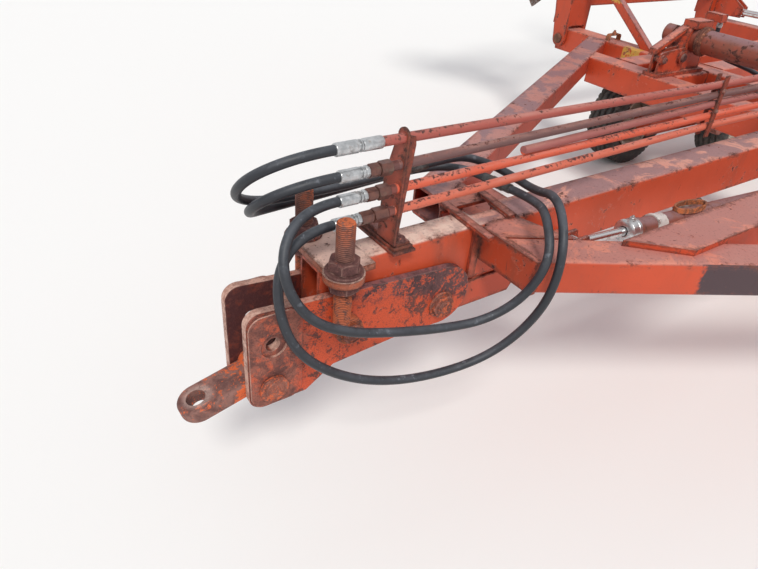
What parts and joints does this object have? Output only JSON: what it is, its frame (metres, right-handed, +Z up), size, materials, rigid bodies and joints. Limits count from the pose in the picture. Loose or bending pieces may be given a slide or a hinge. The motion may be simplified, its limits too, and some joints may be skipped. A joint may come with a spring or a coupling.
{
  "type": "folding v-blade sweep plough",
  "caption": "Towed stubble-mulch sweep plough with a long A-shaped tongue, clevis hitch, hydraulic pipes and two side wings folded upright.",
  "frame": {"origin": "on the ground, midway between the nose of the hitch eye and the rear tips of the blades, on the centre line", "axes": "+X forward along the tongue, +Y to the left side of the machine, +Z up"},
  "size_m": [5.9564, 5.51, 3.743],
  "materials": {
    "paint": "faded and chipped orange-red",
    "rusty_steel": "rusted with remains of paint",
    "worn_brown": "worn brown primer",
    "rod_steel": "dull plated",
    "blade_steel": "scoured steel with rust",
    "zinc": "zinc plated",
    "hose_rubber": "weathered black rubber",
    "tyre": "weathered rubber"
  },
  "bodies": {
    "frame": {"tongue_beam": "paint", "hitch_body": "rusty_steel", "hitch_pins": "rusty_steel", "pivot_bracket": "rusty_steel", "ear_plate": "rusty_steel", "levelling_screws": "rusty_steel", "leg_left": "paint", "leg_right": "paint", "junction_straps": "paint", "side_member": "paint", "wing_rests": "paint", "front_cross_tube": "paint", "middle_cross_tube": "paint", "rear_cross_tube": "paint", "inner_rails": "paint", "outer_rails": "paint", "hinge_pins": "rusty_steel", "centre_standards": "paint", "centre_blades": "blade_steel", "rockshaft_pedestals": "paint", "cylinder_towers": "paint", "lift_lug": "paint", "hydraulic_pipes": "paint", "manifold": "paint", "pipe_supports": "paint", "hose_fittings": "zinc", "hose_couplers": "zinc", "hose_1": "hose_rubber", "hose_2": "hose_rubber", "hose_3": "hose_rubber", "hose_4": "hose_rubber", "hose_5": "hose_rubber"},
    "hitch_eye": {"hitch_eye": "rusty_steel"},
    "rockshaft": {"rockshaft": "worn_brown"},
    "lift_barrel": {"lift_barrel": "worn_brown"},
    "lift_rod": {"lift_rod": "rod_steel"},
    "tandem_left": {"walking_beam_left": "paint"},
    "wheel_front_left": {"tyre_front_left": "tyre", "rim_front_left": "paint"},
    "wheel_rear_left": {"tyre_rear_left": "tyre", "rim_rear_left": "paint"},
    "tandem_right": {"walking_beam_right": "paint"},
    "wheel_front_right": {"tyre_front_right": "tyre", "rim_front_right": "paint"},
    "wheel_rear_right": {"tyre_rear_right": "tyre", "rim_rear_right": "paint"},
    "wing_left": {"wing_frame_left": "paint", "wing_standards_left": "paint", "wing_blades_left": "blade_steel"},
    "gauge_wheel_left": {"gauge_tyre_left": "tyre", "gauge_rim_left": "paint"},
    "fold_barrel_left": {"fold_barrel_left": "worn_brown"},
    "fold_rod_left": {"fold_rod_left": "rod_steel"},
    "wing_right": {"wing_frame_right": "paint", "wing_standards_right": "paint", "wing_blades_right": "blade_steel"},
    "gauge_wheel_right": {"gauge_tyre_right": "tyre", "gauge_rim_right": "paint"},
    "fold_barrel_right": {"fold_barrel_right": "worn_brown"},
    "fold_rod_right": {"fold_rod_right": "rod_steel"}
  },
  "joints": [
    {"name": "hitch_eye_swing", "type": "hinge", "parent": "frame", "child": "hitch_eye", "pos_m": [2.73777, 0, 0.568], "axis": [0, -1, 0], "range_deg": [0, 40]},
    {"name": "lift", "type": "hinge", "parent": "frame", "child": "rockshaft", "pos_m": [-0.38323, 0, 1.065], "axis": [0, 1, 0], "range_deg": [-20, 0]},
    {"name": "tandem_left_pivot", "type": "hinge", "parent": "rockshaft", "child": "tandem_left", "pos_m": [-1.34423, 1.279, 0.36], "axis": [0, 1, 0], "range_deg": [0, 20]},
    {"name": "wheel_front_left_spin", "type": "hinge", "parent": "tandem_left", "child": "wheel_front_left", "pos_m": [-0.91923, 1.459, 0.33], "axis": [0, 1, 0], "continuous": true},
    {"name": "wheel_rear_left_spin", "type": "hinge", "parent": "tandem_left", "child": "wheel_rear_left", "pos_m": [-1.76923, 1.099, 0.33], "axis": [0, 1, 0], "continuous": true},
    {"name": "tandem_right_pivot", "type": "hinge", "parent": "rockshaft", "child": "tandem_right", "pos_m": [-1.34423, -1.279, 0.36], "axis": [0, 1, 0], "range_deg": [0, 20]},
    {"name": "wheel_front_right_spin", "type": "hinge", "parent": "tandem_right", "child": "wheel_front_right", "pos_m": [-0.91923, -1.459, 0.33], "axis": [0, 1, 0], "continuous": true},
    {"name": "wheel_rear_right_spin", "type": "hinge", "parent": "tandem_right", "child": "wheel_rear_right", "pos_m": [-1.76923, -1.099, 0.33], "axis": [0, 1, 0], "continuous": true},
    {"name": "lift_barrel_pivot", "type": "hinge", "parent": "rockshaft", "child": "lift_barrel", "pos_m": [-0.4579, 0.2, 0.64153], "axis": [0, 1, 0], "range_deg": [0, 19.71]},
    {"name": "lift_rod_slide", "type": "slide", "parent": "lift_barrel", "child": "lift_rod", "axis": [0.9967, 0, 0.0808], "range_m": [-0.1498, 0]},
    {"name": "wing_left_fold", "type": "hinge", "parent": "frame", "child": "wing_left", "pos_m": [-2.40323, 1.945, 0.81], "axis": [-1, 0, 0], "range_deg": [0, 90]},
    {"name": "fold_barrel_left_pivot", "type": "hinge", "parent": "frame", "child": "fold_barrel_left", "pos_m": [-2.40323, 0.42, 0.99], "axis": [1, 0, 0], "range_deg": [0, 4.14]},
    {"name": "fold_rod_left_slide", "type": "slide", "parent": "fold_barrel_left", "child": "fold_rod_left", "axis": [0, 0.9997, -0.0237], "range_m": [0, 0.4126]},
    {"name": "gauge_wheel_left_spin", "type": "hinge", "parent": "wing_left", "child": "gauge_wheel_left", "pos_m": [-0.11523, 2.475, 2.415], "axis": [0, 0, 1], "continuous": true},
    {"name": "wing_right_fold", "type": "hinge", "parent": "frame", "child": "wing_right", "pos_m": [-2.40323, -1.945, 0.81], "axis": [1, 0, 0], "range_deg": [0, 90]},
    {"name": "fold_barrel_right_pivot", "type": "hinge", "parent": "frame", "child": "fold_barrel_right", "pos_m": [-2.40323, -0.42, 0.99], "axis": [-1, 0, 0], "range_deg": [0, 4.14]},
    {"name": "fold_rod_right_slide", "type": "slide", "parent": "fold_barrel_right", "child": "fold_rod_right", "axis": [0, -0.9997, -0.0237], "range_m": [0, 0.4126]},
    {"name": "gauge_wheel_right_spin", "type": "hinge", "parent": "wing_right", "child": "gauge_wheel_right", "pos_m": [-0.11523, -2.475, 2.415], "axis": [0, 0, -1], "continuous": true}
  ],
  "couplings": [
    {"joint": "tandem_left_pivot", "follows": "lift", "ratio": -1},
    {"joint": "tandem_right_pivot", "follows": "lift", "ratio": -1},
    {"joint": "lift_barrel_pivot", "follows": "lift", "ratio": -0.9832},
    {"joint": "lift_rod_slide", "follows": "lift", "m_per_rad": 0.42632},
    {"joint": "fold_barrel_left_pivot", "follows": "wing_left_fold", "ratio": 0.045478},
    {"joint": "fold_rod_left_slide", "follows": "wing_left_fold", "m_per_rad": 0.262},
    {"joint": "fold_barrel_right_pivot", "follows": "wing_right_fold", "ratio": 0.045478},
    {"joint": "fold_rod_right_slide", "follows": "wing_right_fold", "m_per_rad": 0.262}
  ]
}
